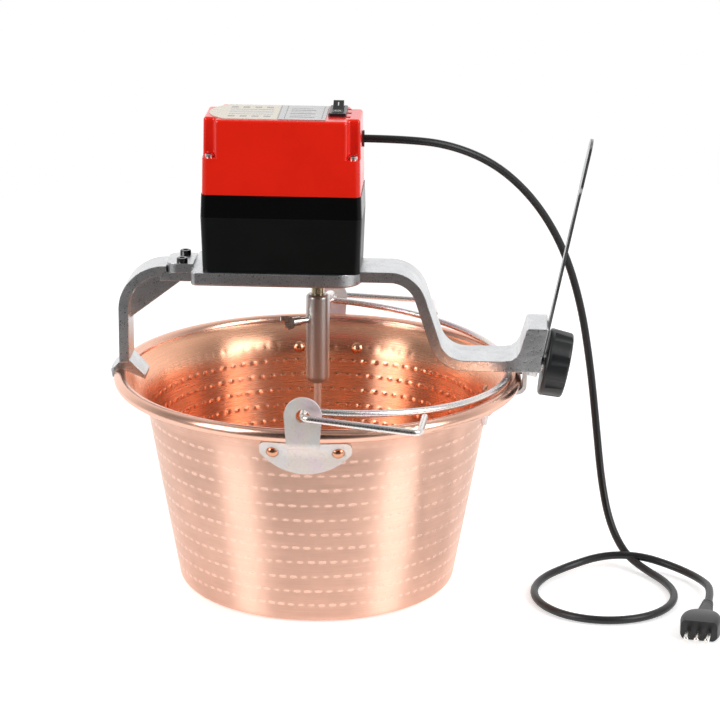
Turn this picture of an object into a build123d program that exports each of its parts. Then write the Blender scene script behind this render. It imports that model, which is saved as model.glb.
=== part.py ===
"""Electric polenta maker: a hammered copper pot with three riveted ears and a bail,
and a motor driven stirrer that stands on the rim and is clamped to one ear.

Units are millimetres. The origin is the centre of the pot's flat base, +X points to the
ear that holds the clamp, +Y to the back and +Z up.
"""
import os
from math import atan2, cos, degrees, hypot, pi, radians, sin, sqrt, tan

from build123d import *

# Pot
WALL = 1.8
BASE_R = 105.3            # wall line carried down to the floor
WALL_SLOPE = 0.177        # outward lean of the wall, mm per mm of height
BASE_CORNER = 7.0
ROLL_R = 150.0            # centre line of the rolled rim
ROLL_Z = 161.2
ROLL_OUT = 5.0            # outside of the copper curl
ROLL_IN = 3.4
RINGS = 10                # rings of planishing marks, as shallow grooves
RING_Z = 15.1
RING_PITCH = 11.9
RING_R = 3.2
RING_DEPTH = 0.3
FLARE_CORNER = (131.8, 150.0)
FLARE_END = (145.9, 159.4)

# Ears and bail
EAR_T = 3.0
EAR_X = 157.8             # middle of the upright strap
EAR_EYE_Z = 179.0
EAR_EYE_R = 5.0
EAR_TOP_R = 13.5
EAR_NECK = 21.0
EAR_LEG_Z = 153.4         # the strap leaves the wall just under the roll
PLATE_T = 2.5
RIVET_Y = 23.5
RIVET_Z = 143.5
BAIL_WIRE = 2.5
BAIL_LOOP = 146.0
BAIL_TILT = 4.38          # the loop rests on the rim, lower than the eyes

# Cast mixer frame
PLATE_Z0, PLATE_Z1 = 238.0, 248.0
PLATE_X0, PLATE_X1 = -93.0, 34.0
PLATE_HALF = 33.0
ARM_HALF = 21.0
ARM_T = 8.0
ARM_HIGH_Z = 244.0
ARM_LOW_Z = 176.6
STUD_TILT = 11.0          # the clamp face leans out, so its stud points down
STUD_O = (158.0, 178.5)   # where the stud's axis passes the ear's eye
STAY_HALF = 6.5
PADDLE_HALF = 10.0
STAY_STEP, STAY_TOP = 131.0, 175.0

# Motor housing
BOX_X = (-84.6, 33.0)     # at the bottom
BOX_HALF = 30.2
BOX_Z = (248.0, 290.2, 307.2, 363.6)
BOX_R = 5.0
SKIN = 2.5
NOTCH = 10.0              # corner wells for the cover screws
NOTCH_Z = 334.6
SWITCH = (14.4, 5.0)

# Gear train, three equal steps from the motor to the stirrer
MODULE = 0.8
PINION = 12
WHEEL = 60
CENTRES = MODULE * (PINION + WHEEL) / 2 + 0.05
SHAFT_R = 5.0
FIT = 0.05

# Stirrer
SLEEVE_R = 9.0
ROD_R = 2.8
BLADE_Z0 = 3.4

# Cord and plug
CORD_R = 3.0
EXIT = (33.4, 8.0, 343.6)


def prism(points, y0, y1):
    """Closed X-Z outline pulled from y0 to y1."""
    face = Plane.XZ * make_face(Polyline(*points, close=True))
    return extrude(face, amount=y1 - y0, dir=(0, 1, 0)).moved(Location((0, y0, 0)))


def band(points, radii, thick, half):
    """Strip of even thickness along a filleted X-Z path, centred on Y."""
    line = FilletPolyline(*points, radius=radii)
    face = Plane.XZ * trace(line, line_width=thick)
    return extrude(face, amount=2 * half, dir=(0, 1, 0)).moved(Location((0, -half, 0)))


def rod_between(a, b, r):
    """Round bar from point a to point b."""
    way = Vector(*b) - Vector(*a)
    plane = Plane(origin=a, z_dir=way.normalized())
    return extrude(plane * Circle(r), amount=way.length)


def ring_of(outer, inner, z0, z1):
    return Pos(0, 0, z0) * extrude(Circle(outer) - Circle(inner), amount=z1 - z0)


def solid_of(outer, z0, z1):
    return Pos(0, 0, z0) * extrude(Circle(outer), amount=z1 - z0)


def spun(points):
    """X-Z outline turned about the Z axis."""
    return revolve(Plane.XZ * make_face(Polyline(*points, close=True)), Axis.Z)


def wall_r(z):
    return BASE_R + WALL_SLOPE * z


# Pot wall: one outline for the sheet, shared by the ear plates that lie on it
def wall_line():
    pts = [(0, 0), (BASE_R, 0), FLARE_CORNER, FLARE_END]
    return FilletPolyline(*pts, radius=[BASE_CORNER, 30.0])


def make_pot():
    sheet = offset(wall_line(), amount=WALL, side=Side.LEFT, closed=True)
    sheet = make_face(sheet.edges()) if not isinstance(sheet, Face) else sheet
    curl = Pos(ROLL_R, ROLL_Z) * (Circle(ROLL_OUT) - Circle(ROLL_IN))
    profile = sheet + curl
    for k in range(RINGS):
        z = RING_Z + RING_PITCH * k
        inner = wall_r(z) - WALL
        bulge = Pos(inner + RING_R - RING_DEPTH, z) * Circle(RING_R)
        bulge = bulge & Pos(inner - 4.1, z) * Rectangle(10, 10)
        profile = profile + bulge
        profile = profile - Pos(wall_r(z) + RING_R - RING_DEPTH, z) * Circle(RING_R)
    half_plane = Pos(100, 50) * Rectangle(200, 400)
    return revolve(Plane.XZ * (profile & half_plane), Axis.Z)


def make_rim_wire():
    return revolve(Plane.XZ * (Pos(ROLL_R, ROLL_Z) * Circle(ROLL_IN - 0.1)), Axis.Z)


# Ears: a moustache plate on the wall and a strap that passes under and round the rim
def make_ear():
    cover = offset(wall_line(), amount=PLATE_T, side=Side.RIGHT, closed=True)
    cover = make_face(cover.edges()) if not isinstance(cover, Face) else cover
    cover = cover & Pos(150, 138) * Rectangle(60, 34)
    skin = revolve(Plane.XZ * cover, Axis.Z)
    half, top, knee = 33.5, 151.9, 145.3
    belly = 169.8 - sqrt(44.2 ** 2 - half ** 2)
    with BuildSketch(Plane.YZ) as moustache:
        with BuildLine():
            Line((-27, top), (27, top))
            ThreePointArc((27, top), (31.8, 150.0), (half, knee))
            Line((half, knee), (half, belly))
            ThreePointArc((half, belly), (0, 125.6), (-half, belly))
            Line((-half, belly), (-half, knee))
            ThreePointArc((-half, knee), (-31.8, 150.0), (-27, top))
        make_face()
        with Locations((0, top)):
            Rectangle(EAR_NECK, 2 * (EAR_LEG_Z + EAR_T / 2 - top))
    plate = skin & extrude(moustache.sketch, amount=160)
    strap = band([(140.1, EAR_LEG_Z), (EAR_X, EAR_LEG_Z), (EAR_X, EAR_EYE_Z + 20)], 6.0, EAR_T, 20)
    with BuildSketch(Plane.YZ) as shield:
        with BuildLine():
            a = (EAR_NECK / 2, 140)
            b = (EAR_TOP_R, EAR_EYE_Z)
            Line((-a[0], a[1]), a)
            Line(a, b)
            ThreePointArc(b, (0, EAR_EYE_Z + EAR_TOP_R), (-b[0], b[1]))
            Line((-b[0], b[1]), (-a[0], a[1]))
        make_face()
        with Locations((0, EAR_EYE_Z)):
            Circle(EAR_EYE_R, mode=Mode.SUBTRACT)
    strap = strap & extrude(shield.sketch, amount=200)
    return plate + strap


def make_rivets():
    """Two domed rivets for one ear, square to the wall."""
    lean = degrees(atan2(WALL_SLOPE, 1))
    r = wall_r(RIVET_Z)
    turn = degrees(RIVET_Y / r)
    both = []
    for side in (-1, 1):
        cap = Sphere(7.2) & Pos(0, 0, 10 - 0.001 + 4.8) * Box(20, 20, 20)
        head = Pos(0, 0, PLATE_T - 4.8) * cap
        inside = Rot(180, 0, 0) * (Pos(0, 0, WALL - 4.8) * cap)
        shank = Pos(0, 0, -WALL) * extrude(Circle(2.2), amount=PLATE_T + WALL)
        rivet = head + shank + inside
        rivet = Rot(0, 90 + lean, 0) * rivet
        both.append(Rot(0, 0, side * turn) * Pos(r, 0, RIVET_Z) * rivet)
    return both


# Bail: one bent wire, with its tails folded back outside the ears
def make_bail():
    r = BAIL_LOOP
    join = (12.0, -sqrt(r * r - 144.0))
    slope = 12.0 / -join[1]
    corner = (0.0, join[1] - 12.0 * slope)
    tail = [(86.0, -134.0), (83.5, -172.0), (0.0, -EAR_X - 5.6), corner, join]
    front = FilletPolyline(*tail, radius=[6.0, 5.2, 5.2])
    loop = ThreePointArc(join, (r, 0), (join[0], -join[1]))
    back = mirror(front, Plane.XZ)
    path = Wire([*front.edges(), *loop.edges(), *back.edges()])
    start = Plane(origin=path @ 0, z_dir=path % 0)
    wire = sweep(start * Circle(BAIL_WIRE), path=path)
    return Pos(0, 0, EAR_EYE_Z) * Rot(0, BAIL_TILT, 0) * wire


# Clamp frame: s runs along the stud, outward and down
TILT = radians(STUD_TILT)
AXIS = Vector(cos(TILT), 0, -sin(TILT))


def along(s):
    return Vector(STUD_O[0], 0, STUD_O[1]) + AXIS * s


def stud_plane(s):
    return Plane(origin=along(s), x_dir=(0, 1, 0), z_dir=AXIS)


def make_frame():
    left = Pos(PLATE_X0 + 20, 0) * Rectangle(40, 2 * PLATE_HALF)
    right = Pos(PLATE_X1 - 60, 0) * Rectangle(120, 2 * PLATE_HALF)
    outline = left + right
    corners = outline.vertices().sort_by(Axis.X)
    outline = fillet(corners[-2:], 20)
    outline = fillet(outline.vertices().sort_by(Axis.X)[:2], 4)
    plate = Pos(0, 0, PLATE_Z0) * extrude(outline, amount=PLATE_Z1 - PLATE_Z0)
    plate = fillet(plate.edges().group_by(Axis.Z)[0], 1.5)
    lug = Pos(-103, 0, 246.8) * Box(20.5, 34, 7.4)
    lug = fillet(lug.edges().filter_by(Axis.Z).sort_by(Axis.X)[:2], 8)
    path = [(10, ARM_HIGH_Z), (72.6, ARM_HIGH_Z), (95.2, ARM_LOW_Z), (150, ARM_LOW_Z)]
    arm = band(path, [24, 24], ARM_T, ARM_HALF)
    low = ARM_LOW_Z - ARM_T / 2
    top = 206.5
    face = along(10.94)
    x_at = lambda z: face.X + (z - face.Z) * tan(TILT)
    block = prism([(140, low), (x_at(low), low), (x_at(top), top), (158.5, top), (153.8, 189.5),
                   (151.0, 184.6), (146.5, 181.4), (140, low + ARM_T)], -ARM_HALF, ARM_HALF)
    boss = extrude(stud_plane(-4.6) * Circle(13.4), amount=15.54)
    casting = arm + block
    casting = chamfer(casting.edges().filter_by(Axis.Y).filter_by(lambda e: e.center().Z > top - 1), 1.0)
    casting = casting + boss + plate + lug
    slot = Pos(EAR_X, 0, 172) * Box(EAR_T + 1.0, 2 * EAR_TOP_R + 1.4, 44)
    stud_hole = extrude(stud_plane(-3.6) * Circle(4.0 + FIT), amount=30)
    bush_hole = solid_of(8.6, 230, 256)
    screws = []
    for y in (-11.7, 11.7):
        screws.append(Pos(-101.5, y, 230) * Cylinder(2.1, 60))
    for x in (-72, 20):
        for y in (-22, 22):
            screws.append(Pos(x, y, PLATE_Z0 + 5) * Cylinder(2.1, 12))
            screws.append(Pos(x, y, PLATE_Z0 + 1.5) * Cylinder(4.1, 3.01))
    return casting - slot - stud_hole - bush_hole - screws


def make_foot():
    """Bent foot with a web and a forked saddle that rides on the rolled rim."""
    path = [(-146.25, 171.5), (-146.25, ARM_HIGH_Z), (-113.4, ARM_HIGH_Z)]
    leg = band(path, 31.0, 7.5, 15)
    tongue = Pos(-105.75, 0, 239.8) * Box(24.5, 30, 6.6)
    web = prism([(-143, 203.5), (-99.7, 236.8), (-99.7, 240.2), (-117, 241.0), (-128, 237.5),
                 (-137, 229.5), (-143, 217)], -3.5, 3.5)
    gap = ROLL_OUT + 0.02
    arc0, arc1 = radians(62), radians(196)
    tip_r = gap + 1.4
    with BuildSketch(Plane.XZ) as saddle:
        with BuildLine():
            on = lambda r, t: (ROLL_R - r * cos(t), ROLL_Z + r * sin(t))
            mid = (arc0 + arc1) / 2
            p0 = (ROLL_R - 20.2, ROLL_Z - 1.6)
            p1 = (ROLL_R - 19.0, ROLL_Z - 3.2)
            p2 = on(gap, radians(52))
            p3 = on(gap, arc1)
            p4 = on(tip_r, arc1)
            p5 = on(gap + 3.4, radians(150))
            p6 = (ROLL_R, ROLL_Z + 11.5)
            p7 = (ROLL_R - 7.5, ROLL_Z + 11.5)
            Line(p0, p1)
            Line(p1, p2)
            ThreePointArc(p2, on(gap, radians(120)), p3)
            Line(p3, p4)
            Line(p4, p5)
            Line(p5, p6)
            Line(p6, p7)
            Line(p7, p0)
        make_face()
    half = degrees(14.5 / ROLL_R)
    fork = revolve(saddle.sketch, Axis.Z, revolution_arc=2 * half)
    fork = Rot(0, 0, 180 - half) * fork
    if abs(fork.center().Y) > 1:
        fork = Rot(0, 0, 2 * half) * fork
    fork = fork & Pos(-144.3, 0, 140) * extrude(RectangleRounded(27.4, 30, 5), amount=60)
    body = leg + tongue + web + fork
    for y in (-11.7, 11.7):
        body = body - Pos(-101.5, y, 240) * Cylinder(2.1, 20)
    return body


def cap_screw(head_r, head_h, shank_r, length):
    """Socket screw with its head standing on Z = 0 and its shank below."""
    head = chamfer(solid_of(head_r, 0, head_h).edges().group_by(Axis.Z)[-1], 0.5)
    socket = extrude(Pos(0, 0, head_h - 1.6) * RegularPolygon(head_r * 0.5, 6), amount=2)
    return head - socket + solid_of(shank_r, -length, 0)


# Housing: three drafted shells stacked on the plate
def box_face(grow, z, r=BOX_R):
    w = BOX_X[1] - BOX_X[0] + 2 * grow
    h = 2 * BOX_HALF + 2 * grow
    mid = (BOX_X[0] + BOX_X[1]) / 2
    return Pos(mid, 0, z) * RectangleRounded(w, h, r)


def shell_between(g0, z0, g1, z1, inset=0.0):
    r = max(BOX_R - inset, 1.0)
    return loft([box_face(g0 - inset, z0, r), box_face(g1 - inset, z1, r)])


S3 = (0.0, 0.0)
S2 = (-CENTRES, 0.0)
S1 = (-2 * CENTRES, 0.0)
MOTOR = (-CENTRES, 0.0)
POSTS = [(x, y) for x in (-79.0, 27.4) for y in (-24.6, 24.6)]


def make_gearbox():
    z0, z1 = BOX_Z[0], BOX_Z[1]
    tub = shell_between(0, z0, 1.3, z1) - shell_between(0, z0 + 4, 1.3, z1 + 0.01, SKIN)
    tub = tub + solid_of(11, z0, 255.6)
    for x, y in (S1, S2):
        tub = tub + Pos(x, y, 0) * solid_of(6, z0, 254)
    for x, y in POSTS:
        tub = tub + Pos(x, y, 0) * (solid_of(4.2, z0, z1) - solid_of(1.5, z0 + 8, z1 + 1))
    tub = tub - solid_of(7.0, z0 - 1, 260)
    for x, y in (S1, S2):
        tub = tub - Pos(x, y, 0) * solid_of(2.5, z0 + 1, 260)
    for x in (-72, 20):
        for y in (-22, 22):
            tub = tub + Pos(x, y, 0) * solid_of(4.0, z0, z0 + 8)
            tub = tub - Pos(x, y, 0) * solid_of(1.8, z0 - 1, z0 + 6)
    return tub


MOTOR_FEET = [(-49.0, -20.0), (-49.0, 20.0), (-9.0, -20.0), (-9.0, 20.0)]


def make_carrier():
    z0, z1 = BOX_Z[1], BOX_Z[2]
    ring = shell_between(1.3, z0, 0.7, z1) - shell_between(1.3, z0 + 3, 0.7, z1 + 0.01, SKIN)
    ring = ring - Pos(*MOTOR, 0) * solid_of(9, z0 - 1, z0 + 5)
    ring = ring - Pos(*S1, 0) * solid_of(2.5, z0 - 1, z0 + 5)
    for x, y in MOTOR_FEET:
        post = solid_of(3.8, z0 + 2, 316) - solid_of(1.5, 302, 317)
        ring = ring + Pos(x, y, 0) * post
    for x, y in POSTS:
        ring = ring + Pos(x, y, 0) * solid_of(4.2, z0, z1)
        ring = ring - Pos(x, y, 0) * solid_of(2.1, z0 - 1, z1 + 1)
    return ring


def make_cover():
    z0, z1 = BOX_Z[2], BOX_Z[3]
    g0, g1 = 0.2, -0.8
    outer = shell_between(g0, z0, g1, z1)
    inner = shell_between(g0, z0 - 0.01, g1, z1 - SKIN, SKIN)
    mid = (BOX_X[0] + BOX_X[1]) / 2
    half = (BOX_X[1] - BOX_X[0]) / 2
    wells = []
    posts = []
    for sx in (-1, 1):
        for sy in (-1, 1):
            corner = (mid + sx * half, sy * BOX_HALF)
            wells.append(Pos(*corner, NOTCH_Z) * Pos(0, 0, 20) * Box(2 * NOTCH, 2 * NOTCH, 40))
            posts.append(Pos(*corner, 336) * Box(2 * NOTCH + 4, 2 * NOTCH + 4, 60))
    cavity = inner - posts
    block = outer - wells
    brink = [e for e in block.edges()
             if e.center().Z > NOTCH_Z + 5 and e.length > 15 and e.center().Z < z1 - 5
             and (abs(e.center().Y) < BOX_HALF - 6 or abs(e.center().X - mid) < half - 6
                  or abs(abs(e.center().Y) - BOX_HALF) < 2)]
    block = fillet(brink, 2.6)
    block = fillet(block.edges().group_by(Axis.Z)[-1], 2.4)
    cover = block - cavity
    for x, y in POSTS:
        cover = cover - Pos(x, y, 0) * solid_of(2.1, z0 - 1, NOTCH_Z + 1)
    cover = cover - Pos(*SWITCH, z1) * Box(10.4, 28.4, 12)
    for y in (-11.5, 3.0, 17.5):
        cover = cover - Pos(22.8, y, z1) * Box(3.4, 4.8, 12)
    gland = Plane(origin=(40, EXIT[1], EXIT[2]), z_dir=(-1, 0, 0)) * Circle(5.5)
    return cover - extrude(gland, amount=16)


def make_label():
    with BuildSketch() as badge:
        with BuildLine():
            Line((-68, -25.5), (6.6, -25.5))
            Line((6.6, -25.5), (6.6, 25.5))
            Line((6.6, 25.5), (-68, 25.5))
            ThreePointArc((-68, 25.5), (-81, 0), (-68, -25.5))
        make_face()
    return Pos(0, 0, BOX_Z[3]) * extrude(badge.sketch, amount=0.5)


def make_switch():
    bezel = extrude(RectangleRounded(13.2, 31, 1.5), amount=2.4)
    bezel = chamfer(bezel.edges().group_by(Axis.Z)[-1], 0.5)
    body = bezel + Pos(0, 0, -8.5) * Box(10.2, 28, 17)
    body = body - Pos(0, 0, -3) * Box(8.4, 25.4, 12)
    for y in (-8, 0, 8):
        body = body + Pos(0, y, -19.5) * Box(4.8, 0.8, 6)
    for side in (-1, 1):
        stub = Plane(origin=(side * 4.3, 0, -2.0), z_dir=(-side, 0, 0)) * Circle(1.2)
        body = body + extrude(stub, amount=1.0)
    return Pos(*SWITCH, BOX_Z[3]) * body


def make_rocker():
    """V-topped rocker tipped to one side about its pivot."""
    pts = [(-11.2, 3.0), (-10.8, 7.6), (0, 5.0), (10.8, 7.6), (11.2, 3.0), (5.5, -5.5), (-5.5, -5.5)]
    face = Plane.YZ * make_face(Polyline(*pts, close=True))
    key = extrude(face, amount=7.8).moved(Location((-3.9, 0, 0)))
    key = fillet(key.edges().filter_by(Axis.X).group_by(Axis.Z)[-1], 0.8)
    for side in (-1, 1):
        dimple = Plane(origin=(side * 3.9, 0, 0), z_dir=(-side, 0, 0)) * Circle(1.25)
        key = key - extrude(dimple, amount=1.6)
    return Pos(*SWITCH, BOX_Z[3] - 2.0) * Rot(14, 0, 0) * key


def make_gland():
    """Flanged bush that grips the cord in the cover's side wall."""
    p = Plane(origin=(33.9, EXIT[1], EXIT[2]), z_dir=(-1, 0, 0))
    flange = extrude(p * Circle(6.2), amount=1.2)
    neck = extrude(p * Circle(5.4), amount=9.0)
    bore = extrude(p.offset(-1) * Circle(CORD_R), amount=3.4)
    return flange + neck - bore


# Motor: shaded-pole C frame with the coil round its side limb
LIMB = (10.5, 20.5)


def make_stator():
    mx = MOTOR[0]
    z0, z1 = 316.0, 334.0
    pole = Pos(mx, 0) * Rectangle(50, 50)
    yoke = Pos((mx + 23 + LIMB[1]) / 2, 0) * Rectangle(LIMB[1] - mx - 23, 50)
    window = Pos((mx + 21 + LIMB[0]) / 2, 0) * Rectangle(LIMB[0] - mx - 21, 30)
    flat = pole + yoke - window - Pos(mx, 0) * Circle(13.6)
    stack = Pos(0, 0, z0) * extrude(flat, amount=z1 - z0)
    for x, y in MOTOR_FEET:
        stack = stack - Pos(x, y, 0) * solid_of(1.55, z0 - 1, z1 + 1)
    return stack


def make_coil():
    bobbin = Box(16.4, 26, 26.0) - Box(10.02, 40, 18.02)
    bobbin = fillet(bobbin.edges().filter_by(Axis.Y).filter_by(lambda e: hypot(e.center().X, e.center().Z) > 14), 3)
    return Pos((LIMB[0] + LIMB[1]) / 2, 0, 325) * bobbin


def make_bracket(up):
    mx = MOTOR[0]
    face = 334.0 if up else 316.0
    d = 1 if up else -1
    strap = Pos(mx, 0, face + d * 4.0) * Box(14, 49, 2.0)
    for y in (-23.0, 23.0):
        strap = strap + Pos(mx, y, face + d * 1.5) * Box(14, 3, 3.0)
    lo, hi = sorted((face + d * 3.0, face + d * 7.0))
    hub = Pos(mx, 0, 0) * solid_of(5.5, lo, hi)
    bore = Pos(mx, 0, 0) * solid_of(2.5 + FIT, lo - 1, hi + 1)
    return strap + hub - bore


def gear_points(teeth, flank=2, thin=0.10):
    """Closed outline of a stub spur gear, with a tooth centred on +X."""
    pitch = MODULE * teeth / 2
    tip = pitch + 0.8 * MODULE
    root = pitch - 1.1 * MODULE
    press = radians(20)
    base = pitch * cos(press)
    inv = lambda a: tan(a) - a
    half = pi / 2 / teeth - thin / 2 / pitch + inv(press)
    pts = []
    for k in range(teeth):
        c = 2 * pi * k / teeth
        side = []
        for i in range(flank):
            r = root + (tip - root) * i / (flank - 1)
            a = half - (inv(atan2(sqrt(max(r * r - base * base, 0)), base)) if r > base else 0)
            side.append((r, a))
        for r, a in side:
            pts.append((r * cos(c - a), r * sin(c - a)))
        for r, a in reversed(side):
            pts.append((r * cos(c + a), r * sin(c + a)))
    return pts


def gear(teeth, z0, z1, flank=2, turn=0.0):
    face = make_face(Polyline(*gear_points(teeth, flank), close=True))
    return Pos(0, 0, z0) * Rot(0, 0, turn) * extrude(face, amount=z1 - z0)


def compound(z_wheel, z_pinion, bore):
    """Moulded wheel and pinion in one, running on a fixed pin."""
    lo = min(z_wheel[0], z_pinion[0])
    hi = max(z_wheel[1], z_pinion[1])
    both = gear(WHEEL, *z_wheel, turn=3.0) + gear(PINION, *z_pinion, flank=3)
    both = both + solid_of(3.6, lo, hi)
    return both - solid_of(bore, lo - 1, hi + 1)


# Stirrer
def make_sleeve():
    tube = solid_of(SLEEVE_R, 155.0, 225)
    tube = fillet(tube.edges().group_by(Axis.Z)[-1], 2.5)
    tube = fillet(tube.edges().group_by(Axis.Z)[0], 5.6)
    tube = tube - solid_of(SHAFT_R + FIT, 186, 226)
    tube = tube - solid_of(ROD_R, 150, 176)
    return tube - screw_core(2.5, 0, 12)


SCREW_TURN = 213.0
SCREW_Z = 205.5


def screw_core(r, a, b):
    bar = Plane(origin=(a, 0, 0), z_dir=(1, 0, 0)) * Circle(r)
    return Pos(0, 0, SCREW_Z) * Rot(0, 0, SCREW_TURN) * extrude(bar, amount=b - a)


def make_thumb_screw():
    wing = Plane.XZ * make_face(Polyline((19, -2.4), (23.5, -5.6), (29, -6.6), (30.5, -3.2), (28.2, 0),
                                         (30.5, 3.2), (29, 6.6), (23.5, 5.6), (19, 2.4), close=True))
    wing = extrude(wing, amount=2.4, dir=(0, 1, 0)).moved(Location((0, -1.2, 0)))
    turned = Pos(0, 0, SCREW_Z) * Rot(0, 0, SCREW_TURN) * Rot(60, 0, 0) * wing
    hub = screw_core(3.4, 15.5, 22)
    return screw_core(2.5 - FIT, SHAFT_R + 0.02, 17) + hub + turned


def make_rod():
    return solid_of(ROD_R, 22.0, 176)


def make_blade():
    """Flat paddle whose lower edge follows the pot's floor and corner."""
    with BuildSketch(Plane.XZ) as flat:
        with BuildLine():
            reach = 92.0
            low = Polyline((-reach + 6, BLADE_Z0), (reach - 6, BLADE_Z0), (reach, BLADE_Z0 + 6),
                           (reach + 2.6, BLADE_Z0 + 20))
            side = Line((reach + 2.6, BLADE_Z0 + 20), (reach - 8, BLADE_Z0 + 22))
            top = Spline((reach - 8, BLADE_Z0 + 22), (45, 24.5), (12, 40), (0, 42))
            top2 = Spline((0, 42), (-12, 40), (-45, 24.5), (-reach + 8, BLADE_Z0 + 22))
            s2 = Line((-reach + 8, BLADE_Z0 + 22), (-reach - 2.6, BLADE_Z0 + 20))
            Polyline((-reach - 2.6, BLADE_Z0 + 20), (-reach, BLADE_Z0 + 6), (-reach + 6, BLADE_Z0))
        make_face()
    blade = extrude(flat.sketch, amount=1.25, both=True)
    blade = blade - solid_of(ROD_R, 22, 60)
    return blade


# Clamp
def make_knob():
    body = extrude(stud_plane(14.4) * Circle(26.0), amount=18, taper=4)
    body = fillet(body.edges().filter_by(GeomType.CIRCLE), 2.2)
    lobes = []
    for k in range(8):
        a = 2 * pi * (k + 0.5) / 8
        spot = stud_plane(18.0) * Pos(32.4 * cos(a), 32.4 * sin(a))
        lobes.append(extrude(spot * Circle(8.6), amount=20))
    bore = extrude(stud_plane(14.0) * Circle(4.0), amount=12)
    return body - lobes - bore


def make_stud():
    return extrude(stud_plane(-3.4) * Circle(4.0), amount=29.4)


def make_knob_washer():
    return extrude(stud_plane(13.05) * (Circle(9.0) - Circle(4.0 + FIT)), amount=1.3)


def make_stay():
    """Flat stay bar, upright on the stud: a slim strip that widens to a round-ended paddle."""
    base = Plane(origin=along(11.0), x_dir=(0, 1, 0), z_dir=AXIS)
    up = -1 if base.y_dir.Z < 0 else 1
    paddle = Pos(0, up * (STAY_STEP + STAY_TOP) / 2) * RectangleRounded(
        2 * PADDLE_HALF, STAY_TOP - STAY_STEP, PADDLE_HALF - 0.01)
    flat = Circle(10.0) + Pos(0, up * 80) * Rectangle(2 * STAY_HALF, 160) + paddle
    return extrude(base * (flat - Circle(4.0 + FIT)), amount=2.0)


# Cord: straight out of the cover, down past the rim and into a loose loop on the floor
CORD_ROUTE = [
    (EXIT[0] - 1.5, 8.0, 343.6),
    (62, 8.0, 343.6),
    (98, 18, 338),
    (133, 34, 320),
    (163, 50, 289),
    (186, 62, 249),
    (201, 69, 202),
    (210, 69, 151),
    (216, 64, 103),
    (221, 56, 61),
    (228, 45, 30),
    (240, 28, 10.5),
    (256, 12, 3.6),
    (270, -10, 3.1),
    (277, -37, 3.1),
    (270, -65, 3.1),
    (250, -86, 3.1),
    (222, -94, 3.1),
    (194, -87, 3.1),
    (174, -66, 3.1),
    (167, -38, 3.1),
    (175, -9, 3.2),
    (195, 13, 4.4),
    (223, 24, 10.6),
    (252, 24, 11.0),
    (279, 13, 6.4),
    (298, -9, 5.0),
    (304, -37, 7.6),
    (299, -64, 7.6),
]


def cord_radii(route):
    radii = []
    for a, b, c in zip(route, route[1:], route[2:]):
        u, v = Vector(*b) - Vector(*a), Vector(*c) - Vector(*b)
        turn = radians(u.get_angle(v))
        radii.append(0.45 * min(u.length, v.length) / tan(turn / 2))
    return radii


def make_cord():
    radii = cord_radii(CORD_ROUTE)
    path = FilletPolyline(*CORD_ROUTE, radius=radii)
    start = Plane(origin=path @ 0, z_dir=path % 0)
    tube = sweep(start * Circle(CORD_R), path=path)
    length = path.length
    print("cord length %.1f mm, tube volume ratio %.4f" % (length, tube.volume / (length * pi * CORD_R ** 2)))
    print("cord bend radii mm:", [round(r, 1) for r in radii])
    return tube


# Plug: flat in-line three pin plug lying on the floor at the cord's end
def plug_plane():
    a, b = Vector(*CORD_ROUTE[-2]), Vector(*CORD_ROUTE[-1])
    way = Vector(b.X - a.X, b.Y - a.Y, 0).normalized()
    return Plane(origin=(b.X, b.Y, 7.6), x_dir=Vector(-way.Y, way.X, 0), z_dir=way)


def make_plug():
    p = plug_plane()
    boot = loft([p * Circle(CORD_R + 1.2), p.offset(26) * Ellipse(6.5, 5.2)])
    grooves = []
    for k in range(5):
        ring = extrude(p.offset(4 + 4.4 * k) * (Circle(12) - Circle(CORD_R + 1.1 + 0.35 * k)), amount=1.6)
        grooves.append(ring)
    boot = boot - grooves
    body = loft([p.offset(26) * RectangleRounded(15, 11, 4), p.offset(34) * RectangleRounded(25, 14.6, 4),
                 p.offset(56) * RectangleRounded(27, 15.0, 4)])
    pins = []
    for x in (-7.5, 0, 7.5):
        pin = extrude(p.offset(56) * Pos(x, 0) * Circle(2.0), amount=19)
        pins.append(fillet(pin.faces().sort_by(Axis((0, 0, 0), tuple(p.z_dir)))[-1].edges(), 1.2))
    return boot, body, pins


def save(name, shape):
    items = shape if isinstance(shape, (list, tuple)) else [shape]
    solids = []
    for item in items:
        solids += list(item.solids())
    out = solids[0] if len(solids) == 1 else Compound(children=solids)
    out.label = name
    export_step(out, "parts/%s.step" % name)
    ok = all(s.is_valid for s in solids)
    print("%-24s solids %2d volume %10.1f valid %s" % (name, len(solids), sum(s.volume for s in solids), ok))
    return out


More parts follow.
